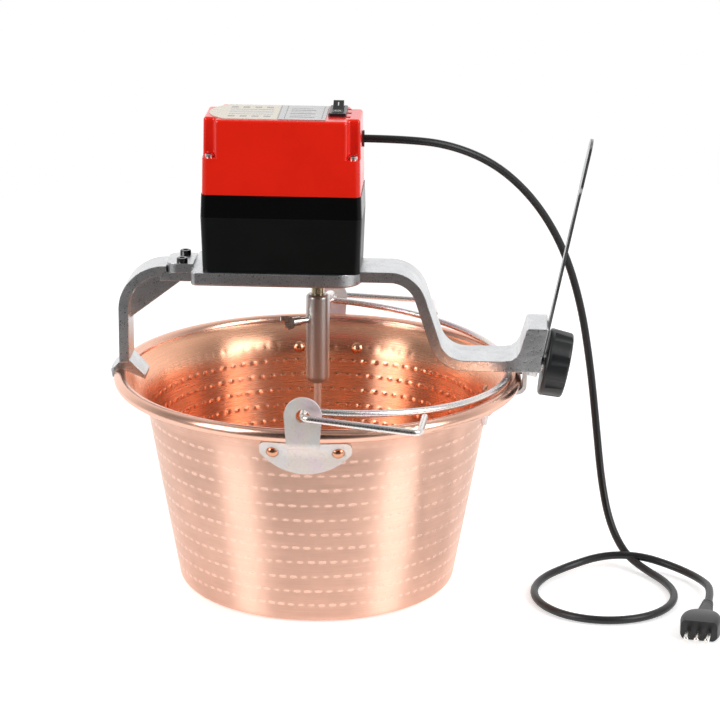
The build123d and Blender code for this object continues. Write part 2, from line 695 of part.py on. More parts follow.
def main():
    os.makedirs("parts", exist_ok=True)
    ear = make_ear()
    pair = make_rivets()
    turns = {"front_ear": -90, "back_ear": 90, "clamp_ear": 0}
    rivets = [Rot(0, 0, t) * r for t in turns.values() for r in pair]
    save("copper_pot", make_pot() - rivets)
    save("rim_wire", make_rim_wire())
    for name, turn in turns.items():
        save(name, Rot(0, 0, turn) * (ear - pair))
    save("ear_rivets", rivets)
    save("bail_handle", make_bail())
    save("mixer_arm", make_frame())
    save("left_foot", make_foot())
    save("foot_screws", [Pos(-101.5, y, 250.5) * cap_screw(4.2, 3.6, 2.0, 13) for y in (-11.7, 11.7)])
    save("gearbox_housing", make_gearbox())
    save("motor_carrier", make_carrier())
    save("top_cover", make_cover())
    save("cover_screws", [Pos(x, y, NOTCH_Z) * cap_screw(3.2, 2.6, 1.45, 62) for x, y in POSTS])
    low = [Pos(x, y, PLATE_Z0 + 3.0) * Rot(180, 0, 0) * cap_screw(4.0, 2.8, 1.75, 12)
           for x in (-72, 20) for y in (-22, 22)]
    save("housing_screws", low)
    save("top_label", make_label())
    save("switch_body", make_switch())
    save("switch_rocker", make_rocker())
    save("cable_gland", make_gland())
    save("motor_stator", make_stator())
    save("motor_coil", make_coil())
    save("lower_bearing_bracket", make_bracket(False))
    save("upper_bearing_bracket", make_bracket(True))
    save("motor_screws", [Pos(x, y, 334) * cap_screw(2.8, 2.4, 1.45, 28) for x, y in MOTOR_FEET])
    at_motor = Pos(*MOTOR, 0)
    save("motor_rotor", at_motor * ring_of(13.0, 2.5, 317, 333))
    spindle = gear(PINION, 272, 278, flank=3) + solid_of(2.5, 272, 343)
    save("motor_shaft", at_motor * spindle)
    save("first_gear", Pos(*S1, 0) * compound((272.6, 277), (264.6, 272.6), 2.5 + FIT))
    save("first_gear_pin", Pos(*S1, 0) * solid_of(2.5, 249, 292))
    save("second_gear", Pos(*S2, 0) * compound((265, 270), (255.6, 265), 2.5 + FIT))
    save("second_gear_pin", Pos(*S2, 0) * solid_of(2.5, 249, 271))
    save("output_gear", gear(WHEEL, 256, 263, turn=3.0) + solid_of(8, 256, 264) - solid_of(SHAFT_R, 255, 265))
    bush = ring_of(7.0, SHAFT_R + FIT, 239, 255.9)
    save("output_bush", bush)
    save("drive_shaft", solid_of(SHAFT_R, 193, 264.2))
    save("stirrer_sleeve", make_sleeve())
    save("stirrer_rod", make_rod())
    save("stirrer_blade", make_blade())
    save("thumb_screw", make_thumb_screw())
    save("clamp_knob", make_knob())
    save("clamp_stud", make_stud())
    save("knob_washer", make_knob_washer())
    save("stay_bar", make_stay())
    save("power_cord", make_cord())
    boot, body, pins = make_plug()
    save("plug_strain_relief", boot)
    save("plug_body", body)
    save("plug_pins", pins)


main()
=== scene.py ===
from math import atan2, cos, pi, radians, sin

import bpy
import numpy as np
from mathutils import Matrix, Vector


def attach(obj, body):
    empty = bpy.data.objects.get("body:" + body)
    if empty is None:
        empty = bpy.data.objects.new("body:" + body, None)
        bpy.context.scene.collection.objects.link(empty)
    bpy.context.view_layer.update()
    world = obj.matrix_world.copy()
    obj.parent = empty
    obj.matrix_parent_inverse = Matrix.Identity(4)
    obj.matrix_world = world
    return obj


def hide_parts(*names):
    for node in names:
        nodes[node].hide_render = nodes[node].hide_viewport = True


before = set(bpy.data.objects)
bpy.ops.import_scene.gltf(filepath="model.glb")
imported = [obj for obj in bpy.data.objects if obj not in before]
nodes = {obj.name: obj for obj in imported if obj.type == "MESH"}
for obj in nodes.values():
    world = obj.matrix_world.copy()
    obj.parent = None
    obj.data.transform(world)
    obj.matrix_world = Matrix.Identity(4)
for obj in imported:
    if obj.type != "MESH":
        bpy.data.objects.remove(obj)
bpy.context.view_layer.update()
scene = bpy.context.scene

# Camera: long lens, a little to the right of the object and looking down on it
camera_place = Vector((0.13245, -2.0010, 0.7841))
yaw, pitch, roll = -0.050, 0.296, 0.008
forward = Vector((sin(yaw) * cos(pitch), cos(yaw) * cos(pitch), -sin(pitch)))
level = Vector((cos(yaw), -sin(yaw), 0))
upward = level.cross(forward)
side = level * cos(roll) + upward * sin(roll)
upward = upward * cos(roll) - level * sin(roll)
camera = bpy.data.objects.new("camera", bpy.data.cameras.new("camera"))
camera.matrix_world = Matrix((
    (side.x, upward.x, -forward.x, camera_place.x),
    (side.y, upward.y, -forward.y, camera_place.y),
    (side.z, upward.z, -forward.z, camera_place.z),
    (0, 0, 0, 1)))
camera.data.sensor_width = 36
camera.data.lens = 137.5
camera.data.clip_start = 0.05
camera.data.clip_end = 60
scene.collection.objects.link(camera)
scene.camera = camera


# Material building blocks
class Nodes:
    """Small helper round one material's node tree."""

    def __init__(self, name):
        self.mat = bpy.data.materials.new(name)
        self.mat.use_nodes = True
        self.tree = self.mat.node_tree
        self.shader = self.tree.nodes["Principled BSDF"]
        self.place = self.tree.nodes.new("ShaderNodeTexCoord").outputs["Object"]

    def add(self, kind, **settings):
        node = self.tree.nodes.new("ShaderNode" + kind)
        for key, value in settings.items():
            setattr(node, key, value)
        return node

    def link(self, a, b):
        self.tree.links.new(a, b)

    def feed(self, socket, value):
        """Link another node's output, or set a colour or a number."""
        if hasattr(value, "links"):
            self.link(value, socket)
        elif isinstance(value, tuple):
            socket.default_value = (*value, 1.0)
        else:
            socket.default_value = value

    def set(self, **values):
        for key, value in values.items():
            self.feed(self.shader.inputs[key.replace("_", " ")], value)

    def stretched(self, sx, sy, sz):
        m = self.add("Mapping")
        m.inputs["Scale"].default_value = (sx, sy, sz)
        self.link(self.place, m.inputs["Vector"])
        return m.outputs["Vector"]

    def noise(self, scale, detail=3.0, rough=0.5, vector=None):
        n = self.add("TexNoise")
        n.inputs["Scale"].default_value = scale
        n.inputs["Detail"].default_value = detail
        n.inputs["Roughness"].default_value = rough
        self.link(vector or self.place, n.inputs["Vector"])
        return n.outputs["Fac"]

    def ramp(self, source, low, high, a=0.0, b=1.0):
        m = self.add("MapRange")
        for key, value in (("From Min", low), ("From Max", high), ("To Min", a), ("To Max", b)):
            m.inputs[key].default_value = value
        self.link(source, m.inputs["Value"])
        return m.outputs["Result"]

    def math(self, op, a, b):
        m = self.add("Math", operation=op)
        self.feed(m.inputs[0], a)
        self.feed(m.inputs[1], b)
        return m.outputs[0]

    def mix(self, fac, a, b):
        """Blend of two colours: sockets 6 and 7 are the node's colour inputs, output 2 its colour."""
        m = self.add("Mix", data_type="RGBA")
        for index, value in ((0, fac), (6, a), (7, b)):
            self.feed(m.inputs[index], value)
        return m.outputs[2]

    def bump(self, height, strength, distance, under=None):
        b = self.add("Bump")
        b.inputs["Strength"].default_value = strength
        b.inputs["Distance"].default_value = distance
        self.link(height, b.inputs["Height"])
        if under is not None:
            self.link(under, b.inputs["Normal"])
        return b.outputs["Normal"]

    def rounded(self, radius):
        """Normal that softens the edges by the given radius."""
        b = self.add("Bevel", samples=6)
        b.inputs["Radius"].default_value = radius
        return b.outputs["Normal"]


# Noise scales along x, y and z that draw fine rings on turned metal
COPPER_LINES = (25, 25, 1400)
STEEL_LINES = (60, 60, 2600)


def shade(color, factor):
    return tuple(min(1.0, c * factor) for c in color)


def spun_metal(name, color, rough, streak=0.25, vary=0.06, lines=COPPER_LINES, aniso=0.75, struck_sheen=None):
    """Metal turned about the upright axis: fine rings, a stretched gloss, and hammer marks burnished
    glossier and painted lighter as a painted sheen.
    """
    n = Nodes(name)
    fine = n.noise(1.0, 4.0, 0.6, n.stretched(*lines))
    cloud = n.noise(22.0, 4.0, 0.6)
    color_node = n.mix(n.ramp(cloud, 0.3, 0.7), shade(color, 1 - vary), shade(color, 1 + vary))
    color_node = n.mix(n.ramp(fine, 0.35, 0.65, 0.0, 0.35), color_node, shade(color, 1 - 2 * vary))
    gloss = n.ramp(fine, 0.2, 0.8, rough * 0.85, rough * 1.2)
    # Hammer marks: lower roughness for the burnish, and a lighter colour that is a painted sheen.
    if struck_sheen:
        hit = n.ramp(n.add("Attribute", attribute_name="struck_sheen").outputs["Fac"], 0.15, 0.6)
        color_node = n.mix(hit, color_node, struck_sheen)
        gloss = n.math("MULTIPLY", gloss, n.math("SUBTRACT", 1.0, n.math("MULTIPLY", hit, 0.3)))
    tangent = n.add("Tangent", direction_type="RADIAL", axis="Z")
    n.link(tangent.outputs[0], n.shader.inputs["Tangent"])
    n.set(Base_Color=color_node, Metallic=1.0, Roughness=gloss,
          Anisotropic=aniso, Anisotropic_Rotation=0.25, Normal=n.bump(fine, streak, 0.00004))
    return n.mat


def grained_metal(name, color, rough, grain=900.0, strength=0.3, vary=0.08):
    """Plated or rolled metal: fine grain and a soft cloudy change of tone."""
    n = Nodes(name)
    fine = n.noise(grain, 5.0, 0.65)
    broad = n.noise(60.0, 3.0, 0.5)
    tone = n.mix(n.ramp(broad, 0.3, 0.7), shade(color, 1 - vary), shade(color, 1 + vary))
    height = n.math("ADD", n.math("MULTIPLY", fine, 0.6), broad)
    n.set(Base_Color=tone, Metallic=1.0, Roughness=n.ramp(broad, 0.3, 0.7, rough * 0.85, rough * 1.2),
          Normal=n.bump(height, strength, 0.00008))
    return n.mat


def cast_metal(name, color, rough, edge):
    """Tumbled casting: rounded bright edges and a mottled, speckled skin."""
    n = Nodes(name)
    skin = n.noise(640.0, 6.0, 0.7)
    broad = n.noise(75.0, 3.0, 0.55)
    tone = n.mix(n.ramp(broad, 0.3, 0.7), shade(color, 0.90), shade(color, 1.08))
    tone = n.mix(n.ramp(skin, 0.50, 0.74, 0.0, 0.5), tone, shade(color, 0.5))
    height = n.math("ADD", skin, n.math("MULTIPLY", broad, 1.5))
    n.set(Base_Color=tone, Metallic=1.0, Roughness=n.ramp(skin, 0.3, 0.7, rough * 0.75, rough * 1.35),
          Normal=n.bump(height, 0.6, 0.0003, under=n.rounded(edge)))
    return n.mat


def passivated_zinc(name, rough, grain, spots=0.25, skin=0.08):
    """Bright zinc plate with the faint pink, straw and green tints of its passivation."""
    n = Nodes(name)
    fine = n.noise(grain, 4.0, 0.6)
    drift = n.noise(38.0, 2.0, 0.4)
    tone = n.mix(n.ramp(drift, 0.36, 0.52), (0.86, 0.73, 0.79), (0.85, 0.79, 0.74))
    tone = n.mix(n.ramp(drift, 0.54, 0.68), tone, (0.79, 0.79, 0.80))
    tone = n.mix(n.ramp(fine, 0.62, 0.78, 0.0, spots), tone, (0.36, 0.34, 0.33))
    n.set(Base_Color=tone, Metallic=1.0, Roughness=n.ramp(fine, 0.3, 0.7, rough * 0.85, rough * 1.2),
          Normal=n.bump(fine, skin, 0.00004, under=n.rounded(0.0004)))
    return n.mat


def moulded(name, color, rough, grain=1500.0, strength=0.12, coat=0.0, vary=0.05, specular=0.5):
    """Moulded plastic or rubber: slight mottling and a fine surface grain."""
    n = Nodes(name)
    fine = n.noise(grain, 2.0, 0.5)
    broad = n.noise(35.0, 3.0, 0.5)
    n.set(Base_Color=n.mix(n.ramp(broad, 0.3, 0.7), shade(color, 1 - vary), shade(color, 1 + vary)),
          Roughness=n.ramp(broad, 0.25, 0.75, rough * 0.88, rough * 1.15), Coat_Weight=coat,
          Coat_Roughness=0.08, Specular_IOR_Level=specular, Normal=n.bump(fine, strength, 0.00003))
    return n.mat


def layered_metal(name, color, rough, pitch, depth):
    """Stacked sheets or wound wire: even lines across the upright axis."""
    n = Nodes(name)
    w = n.add("TexWave", wave_type="BANDS", bands_direction="Z")
    w.inputs["Scale"].default_value = 1.0 / pitch / pi
    w.inputs["Distortion"].default_value = 0.3
    n.link(n.place, w.inputs["Vector"])
    tone = n.mix(n.ramp(w.outputs["Fac"], 0.0, 1.0), shade(color, 0.55), shade(color, 1.1))
    n.set(Base_Color=tone, Metallic=1.0, Roughness=rough, Normal=n.bump(w.outputs["Fac"], 0.5, depth))
    return n.mat


# The struck colours given to the pot's copper are lighter than the metal, a painted sheen on the hammer
# marks.
copper = spun_metal("pot_copper", (0.91, 0.57, 0.44), 0.36, streak=0.35, vary=0.09, aniso=1.0,
                    struck_sheen=(0.93, 0.605, 0.48))
copper_rim = spun_metal("pot_copper_rim", (0.90, 0.54, 0.41), 0.24, streak=0.2, aniso=0.6)
# Inside copper: the pot's copper painted deeper and more saturated, painted bounce light from the
# facing walls.
copper_inside_painted_bounce = spun_metal("pot_copper_inside_painted_bounce", (0.97, 0.50, 0.32), 0.27, streak=0.03, aniso=0.9,
                         struck_sheen=(0.97, 0.55, 0.38))
copper_plain = grained_metal("rivet_copper", (0.72, 0.36, 0.22), 0.22, vary=0.12)
zinc = passivated_zinc("zinc_plate", 0.66, 500)
wire = passivated_zinc("zinc_wire", 0.27, 900, spots=0.0, skin=0.01)
cast = cast_metal("tumbled_cast_aluminium", (0.68, 0.685, 0.695), 0.30, 0.0010)
dark_screw = grained_metal("black_oxide", (0.13, 0.13, 0.135), 0.22)
zinc_screw = grained_metal("bright_zinc", (0.72, 0.72, 0.70), 0.28)
satin_black = moulded("satin_black_plastic", (0.0032, 0.0040, 0.0038), 0.36, grain=2200, strength=0.2,
                      specular=0.28)
band_black = moulded("smooth_black_plastic", (0.0022, 0.0022, 0.0022), 0.2, grain=2200, strength=0.1,
                     specular=0.25)
gloss_black = moulded("switch_black_plastic", (0.012, 0.012, 0.014), 0.28)
knob_black = moulded("knob_black_plastic", (0.014, 0.015, 0.016), 0.36, grain=1400, strength=0.18)
red = moulded("gloss_red_plastic", (0.92, 0.016, 0.003), 0.22, grain=420, strength=0.08, coat=0.3,
              vary=0.03)
cord_black = moulded("cord_black_rubber", (0.012, 0.012, 0.013), 0.38, grain=1800)
steel_turned = spun_metal("turned_steel", (0.62, 0.59, 0.57), 0.34, lines=STEEL_LINES, aniso=0.4)
# Rod steel: polished, with its colour raised close to white as a painted sheen.
steel_painted_sheen = spun_metal("polished_rod_steel_with_painted_sheen", (0.95, 0.95, 0.96), 0.34, lines=STEEL_LINES, aniso=0.1)
steel_straw = spun_metal("straw_tinted_steel", (0.60, 0.54, 0.36), 0.24, lines=STEEL_LINES, aniso=0.5)
steel_plain = grained_metal("pressed_steel", (0.58, 0.58, 0.58), 0.35)
steel_ground = spun_metal("ground_steel", (0.7, 0.69, 0.66), 0.22, lines=STEEL_LINES, aniso=0.6)
stay_steel = grained_metal("spring_steel", (0.36, 0.365, 0.37), 0.3, grain=700)
bronze = grained_metal("brass_and_bronze", (0.66, 0.50, 0.28), 0.3)
nickel = grained_metal("nickel_pins", (0.78, 0.76, 0.72), 0.2, strength=0.1)
nylon = moulded("natural_gear_plastic", (0.78, 0.75, 0.66), 0.4)
laminated = layered_metal("stacked_laminations", (0.30, 0.30, 0.33), 0.4, 0.0007, 0.0001)
winding = layered_metal("enamelled_winding", (0.62, 0.27, 0.10), 0.3, 0.0005, 0.0002)


# Label on the cover: plain foil panels in cream and silver with bars and frames, no lettering
def label_material():
    n = Nodes("label_foil")
    split = n.add("SeparateXYZ")
    n.link(n.place, split.inputs[0])
    x, y = split.outputs[0], split.outputs[1]

    def inside(value, low, high):
        return n.math("MULTIPLY", n.math("GREATER_THAN", value, low), n.math("LESS_THAN", value, high))

    def patch(x0, x1, y0, y1):
        return n.math("MULTIPLY", inside(x, x0, x1), inside(y, y0, y1))

    fine = n.noise(600.0)
    cream, silver = (0.72, 0.65, 0.54), (0.52, 0.525, 0.52)
    grey, dark = (0.30, 0.30, 0.30), (0.11, 0.105, 0.10)
    seam = -0.028
    cream_low, cream_high = -0.066, -0.0335
    tone = n.mix(n.math("GREATER_THAN", x, seam), cream, silver)
    bars = [(-0.024, -0.0235, -0.0225, 0.0225, dark), (0.0035, 0.0040, -0.0225, 0.0225, dark)]
    for k in range(6):
        y0 = -0.0175 + 0.0062 * k
        bars.append((-0.0205, -0.002 - 0.003 * (k % 2), y0, y0 + 0.0022, grey if k % 2 else dark))
    for k in range(4):
        x0 = cream_low + 0.0088 * k
        bars.append((x0, x0 + 0.0052, -0.0185, -0.0135, grey))
        bars.append((x0, x0 + 0.0052, 0.0135, 0.0185, grey))
    bars.append((cream_low, cream_high, -0.0035, 0.0035, silver))
    bars.append((cream_low, cream_high, -0.0088, -0.0076, dark))
    bars.append((cream_low, cream_high, 0.0076, 0.0088, dark))
    bars.append((seam - 0.0012, seam, -0.0245, 0.0245, grey))
    for x0, x1, y0, y1, color in bars:
        tone = n.mix(patch(x0, x1, y0, y1), tone, color)
    n.set(Base_Color=tone, Metallic=n.ramp(x, seam - 0.0001, seam + 0.0001, 0.15, 0.55),
          Roughness=n.ramp(fine, 0.3, 0.7, 0.24, 0.34), Normal=n.bump(fine, 0.08, 0.00003))
    return n.mat


label = label_material()

FINISH = {
    "rim_wire": zinc_screw, "front_ear": zinc, "back_ear": zinc, "clamp_ear": zinc,
    "ear_rivets": copper_plain, "bail_handle": wire, "mixer_arm": cast, "left_foot": cast,
    "foot_screws": dark_screw, "gearbox_housing": satin_black, "motor_carrier": band_black,
    "top_cover": red, "cover_screws": zinc_screw, "housing_screws": zinc_screw, "top_label": label,
    "switch_body": gloss_black, "switch_rocker": gloss_black, "cable_gland": cord_black,
    "motor_stator": laminated, "motor_coil": winding, "lower_bearing_bracket": steel_plain,
    "upper_bearing_bracket": steel_plain, "motor_screws": zinc_screw, "motor_rotor": laminated,
    "motor_shaft": steel_ground, "first_gear": nylon, "first_gear_pin": steel_ground,
    "second_gear": nylon, "second_gear_pin": steel_ground, "output_gear": nylon, "output_bush": bronze,
    "drive_shaft": steel_straw, "stirrer_sleeve": steel_turned, "stirrer_rod": steel_painted_sheen,
    "stirrer_blade": steel_plain, "thumb_screw": zinc_screw, "clamp_knob": knob_black,
    "clamp_stud": zinc_screw, "knob_washer": zinc_screw, "stay_bar": stay_steel,
    "power_cord": cord_black, "plug_strain_relief": cord_black, "plug_body": cord_black,
    "plug_pins": nickel, "copper_pot": copper,
}
for name, material in FINISH.items():
    mesh = nodes[name].data
    mesh.materials.clear()
    mesh.materials.append(material)


def new_mesh(name, verts, faces, material, body, crease=None):
    """Piece that rides on a body, smooth but for edges above the crease angle, or flat without one."""
    mesh = bpy.data.meshes.new(name)
    mesh.from_pydata([tuple(v) for v in verts], [], faces)
    mesh.validate()
    mesh.materials.append(material)
    if crease:
        mesh.shade_smooth()
        mesh.set_sharp_from_angle(angle=radians(crease))
    obj = bpy.data.objects.new(name, mesh)
    scene.collection.objects.link(obj)
    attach(obj, body)
    return obj


def turned_faces(base, rings, around, low, high):
    """Faces of a closed turned shape, from the point at its low end to the one at its high end."""
    after = [(k + 1) % around for k in range(around)]
    top = base + (rings - 1) * around
    faces = [(low, base + m, base + k) for k, m in enumerate(after)]
    for a in range(base, top, around):
        faces += [(a + k, a + m, a + around + m, a + around + k) for k, m in enumerate(after)]
    return faces + [(top + k, top + m, high) for k, m in enumerate(after)]


# Cord: one smooth line from the cover, over the right side and down into a loop on the floor
CORD_DIAMETER = 0.006
CORD_ROUTE = [
    (0.0319, 0.008, 0.3436), (0.062, 0.008, 0.3436), (0.098, 0.018, 0.338), (0.133, 0.034, 0.320),
    (0.163, 0.050, 0.289), (0.186, 0.062, 0.249), (0.201, 0.069, 0.202), (0.210, 0.069, 0.151),
    (0.216, 0.064, 0.103), (0.221, 0.056, 0.061), (0.228, 0.045, 0.030), (0.240, 0.028, 0.0105),
    (0.256, 0.012, 0.0036), (0.270, -0.010, 0.0031), (0.277, -0.037, 0.0031), (0.270, -0.065, 0.0031),
    (0.250, -0.086, 0.0031), (0.222, -0.094, 0.0031), (0.194, -0.087, 0.0031), (0.174, -0.066, 0.0031),
    (0.167, -0.038, 0.0031), (0.175, -0.009, 0.0032), (0.195, 0.013, 0.0044), (0.223, 0.024, 0.0106),
    (0.252, 0.024, 0.0110), (0.279, 0.013, 0.0064), (0.298, -0.009, 0.0050), (0.304, -0.037, 0.0076),
    (0.299, -0.064, 0.0076),
]
curve = bpy.data.curves.new("mains_cord", "CURVE")
curve.dimensions = "3D"
curve.bevel_depth = CORD_DIAMETER / 2
curve.bevel_resolution = 6
curve.resolution_u = 12
spline = curve.splines.new("NURBS")
spline.points.add(len(CORD_ROUTE) - 1)
for point, place in zip(spline.points, CORD_ROUTE):
    point.co = (*place, 1.0)
spline.order_u = 3
spline.use_endpoint_u = True
curve.materials.append(cord_black)
cord = bpy.data.objects.new("mains_cord", curve)
scene.collection.objects.link(cord)
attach(cord, "pot_and_frame")
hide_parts("power_cord")


# Pot, in mm: outside radius at the floor, lean of the wall, the flare under the rim and the rolled rim
BASE_R = 105.3
WALL_SLOPE = 0.177
WALL_LEAN = np.arctan(WALL_SLOPE)
SHEET = 1.8
BASE_CORNER = 7.0
FLARE_CORNER = (131.8, 150.0)
FLARE_END = (145.9, 159.4)
FLARE_ROUND = 30.0
ROLL = (150.0, 161.2, 5.0)

# Rows of planishing marks, dents outside and bumps inside
ROWS = [15.1 + 11.9 * k for k in range(12)]
PER_ROW = 88
AROUND = PER_ROW * 8      # mesh steps round the pot
MARK_HALF_TALL = 1.9
MARK_PUSH = 0.175         # direction of a blow, in radians above the level
OUTSIDE_MARK = (0.17, 1.0)    # depth in mm and share of the pitch
INSIDE_MARK = (0.42, 0.55)
NO_MARK = (0.0, 1.0)
FLAT_BASE_R = 100         # no marks inside this radius


def wall(z):
    return BASE_R + WALL_SLOPE * z


def arc(cx, cz, r, a0, a1, n):
    """Points of an arc between two angles in degrees."""
    angles = [radians(a0 + (a1 - a0) * k / n) for k in range(n + 1)]
    return [(cx + r * cos(a), cz + r * sin(a)) for a in angles]


def smooth_corner(a, b, c, r, n):
    """Points of the round that joins two straight runs of the outline."""
    a, b, c = (Vector((*p, 0)) for p in (a, b, c))
    u, v = (a - b).normalized(), (c - b).normalized()
    half = u.angle(v) / 2
    reach = r / np.tan(half)
    centre = b + (u + v).normalized() * (r / sin(half))
    p, q = b + u * reach - centre, b + v * reach - centre
    start = atan2(p.y, p.x)
    sweep = (atan2(q.y, q.x) - start + pi) % (2 * pi) - pi
    return [(centre.x + r * cos(start + sweep * k / n), centre.y + r * sin(start + sweep * k / n))
            for k in range(n + 1)]


def outline(inset):
    """Sheet line from the centre of the base to the rim, at the outside (0) or inside of the sheet."""
    base = (BASE_R - inset * (1 - sin(WALL_LEAN)) / cos(WALL_LEAN), inset)
    flare_in = Vector(FLARE_CORNER)
    up = Vector((sin(WALL_LEAN), cos(WALL_LEAN)))
    out = (Vector(FLARE_END) - flare_in).normalized()
    n1, n2 = Vector((-up.y, up.x)), Vector((-out.y, out.x))
    k = inset / (1 + n1.dot(n2))
    corner = flare_in + (n1 + n2) * k
    end = Vector(FLARE_END) + n2 * inset
    pts = [(0.0, inset), (40.0, inset), (80.0, inset)]
    pts += smooth_corner((0, inset), base, tuple(corner), BASE_CORNER - inset, 8)
    knee = smooth_corner(base, tuple(corner), tuple(end), FLARE_ROUND + inset, 10)
    z_low, z_high = pts[-1][1], knee[0][1]
    levels = set()
    for ring in ROWS:
        for d in (-4.4, -3.0, -2.2, -1.5, -0.8, 0.0, 0.8, 1.5, 2.2, 3.0, 4.4):
            levels.add(round(ring + d, 3))
    r0, r1 = pts[-1][0], knee[0][0]
    for z in sorted(levels):
        if z_low + 0.5 < z < z_high - 0.5:
            pts.append((r0 + (r1 - r0) * (z - z_low) / (z_high - z_low), z))
    return pts + knee + [tuple(end)]


def dent(theta, z, length):
    """Depth from 0 to 1 of the planishing marks, each the given share of its pitch long."""
    depth = np.zeros_like(theta)
    for k, ring in enumerate(ROWS):
        fade = 1.0 if k < len(ROWS) - 1 else 0.55
        drift = 0.06 * np.sin(3 * theta + k) + 0.04 * np.sin(7 * theta)
        phase = theta * PER_ROW / (2 * pi) + 0.37 * k + drift
        u = (phase - np.floor(phase) - 0.5) * 2
        wander = ring + 0.35 * np.sin(2 * theta + 1.3 * k) + 0.2 * np.sin(5 * theta + k)
        v = (z - wander) / MARK_HALF_TALL
        size = 0.82 + 0.18 * np.sin(13.7 * np.floor(phase) + 2.1 * k)
        along = np.clip(1 - (np.abs(u) / length) ** 2, 0, 1)
        across = np.clip(1 - v ** 2, 0, 1) ** 1.3
        depth = np.maximum(depth, along * across * size * fade)
    return depth


def hammered_pot():
    """Pot in one mesh: up the outside, round the rolled rim and down the inside."""
    outside = outline(0.0)
    curl = arc(*ROLL, 205, 541, 36)
    inside = outline(SHEET)[::-1]
    profile = outside + curl + inside
    marks = [OUTSIDE_MARK] * len(outside) + [NO_MARK] * len(curl) + [INSIDE_MARK] * len(inside)
    theta = np.linspace(0, 2 * pi, AROUND, endpoint=False)
    rows, struck_sheen = [], []
    for (r, z), (depth, length) in zip(profile, marks):
        hit = dent(theta, z, length) if depth > 0 and r > FLAT_BASE_R else np.zeros_like(theta)
        struck_sheen.append(hit)
        shift = depth * hit
        wobble = 0.12 * np.sin(2 * theta + z / 60) if r > 60 else 0.0
        radius = r - shift * cos(MARK_PUSH) + wobble * min(1.0, z / 60)
        height = z + shift * sin(MARK_PUSH)
        rows.append(np.stack([radius * np.cos(theta), radius * np.sin(theta), height], 1))
    first = [(0.0, 0.0, profile[0][1] / 1000)]
    last = [(0.0, 0.0, profile[-1][1] / 1000)]
    ringed = rows[1:-1]
    verts = first + [tuple(p / 1000) for row in ringed for p in row] + last
    faces = turned_faces(1, len(ringed), AROUND, 0, len(verts) - 1)
    pot = new_mesh("hammered_pot", verts, faces, copper, "pot_and_frame", crease=50)
    # Where the hammer struck: drives the burnish gloss and the painted sheen.
    burnish_and_sheen = pot.data.attributes.new("struck_sheen", "FLOAT", "POINT")
    burnish_and_sheen.data.foreach_set("value", np.concatenate([[0.0], *struck_sheen[1:-1], [0.0]]))
    pot.data.materials.append(copper_rim)
    pot.data.materials.append(copper_inside_painted_bounce)
    first_curl = (len(outside) - 1) * AROUND
    first_inside = (len(outside) + len(curl) - 1) * AROUND
    for polygon in pot.data.polygons:
        polygon.material_index = (polygon.index > first_curl) + (polygon.index > first_inside)
    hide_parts("copper_pot")


hammered_pot()


# Rivets, in mm: place on the wall, extra lean of the flare there, and the sheet's and plate's faces
RIVET_Z = 143.5
RIVET_SIDE = 23.5
RIVET_OUT = 0.65
RIVET_LEAN = radians(12.5)
RIVET_STEPS = 28
SHANK_R = 2.2
INNER_FACE = -1.7
OUTER_FACE = 2.7
INNER_HEAD = (4.7, 2.0)   # radius and height
OUTER_HEAD = (4.6, 2.8)


def cap(radius, height, steps=6):
    """Half outline of a dome, from its edge to its top."""
    ball = (radius ** 2 + height ** 2) / (2 * height)
    open_angle = np.arcsin(radius / ball)
    return [(ball * sin(open_angle * (1 - k / steps)),
             ball * cos(open_angle * (1 - k / steps)) - (ball - height)) for k in range(steps + 1)]


def rivet_heads():
    """Six rivets in one mesh, square to the sheet where it starts to flare."""
    profile = [(r, INNER_FACE - h) for r, h in reversed(cap(*INNER_HEAD))]
    profile += [(SHANK_R, INNER_FACE), (SHANK_R, OUTER_FACE)]
    profile += [(r, OUTER_FACE + h) for r, h in cap(*OUTER_HEAD)]
    turn = RIVET_SIDE / wall(RIVET_Z)
    verts, faces = [], []
    for ear in (-pi / 2, pi / 2, 0.0):
        for side in (-1, 1):
            place = Matrix.Rotation(ear + side * turn, 4, "Z")
            place = place @ Matrix.Translation((wall(RIVET_Z) + RIVET_OUT, 0, RIVET_Z))
            place = place @ Matrix.Rotation(pi / 2 + WALL_LEAN + RIVET_LEAN, 4, "Y")
            base = len(verts)
            for r, h in profile[1:-1]:
                for k in range(RIVET_STEPS):
                    a = 2 * pi * k / RIVET_STEPS
                    verts.append(place @ Vector((r * cos(a), r * sin(a), h)) / 1000)
            for _, h in (profile[0], profile[-1]):
                verts.append(place @ Vector((0, 0, h)) / 1000)
            faces += turned_faces(base, len(profile) - 2, RIVET_STEPS, len(verts) - 2, len(verts) - 1)
    heads = new_mesh("rivet_heads", verts, faces, copper_plain, "pot_and_frame", crease=50)
    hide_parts("ear_rivets")


rivet_heads()


# I and O on the rocker, standing a hair proud of its two sloping faces
ROCKER_PIVOT = Vector((0.0144, 0.005, 0.3616))
ROCKER_LEAN = radians(14)
ROCKER_VALLEY = 0.0050    # height of its middle above the pivot
ROCKER_RISE = 0.0026 / 0.0108
PROUD = 0.00008
RING_CENTRE = -0.0058
RING_OUTER = (0.0023, 0.0021)
RING_INNER = (0.0016, 0.0014)
RING_STEPS = 28


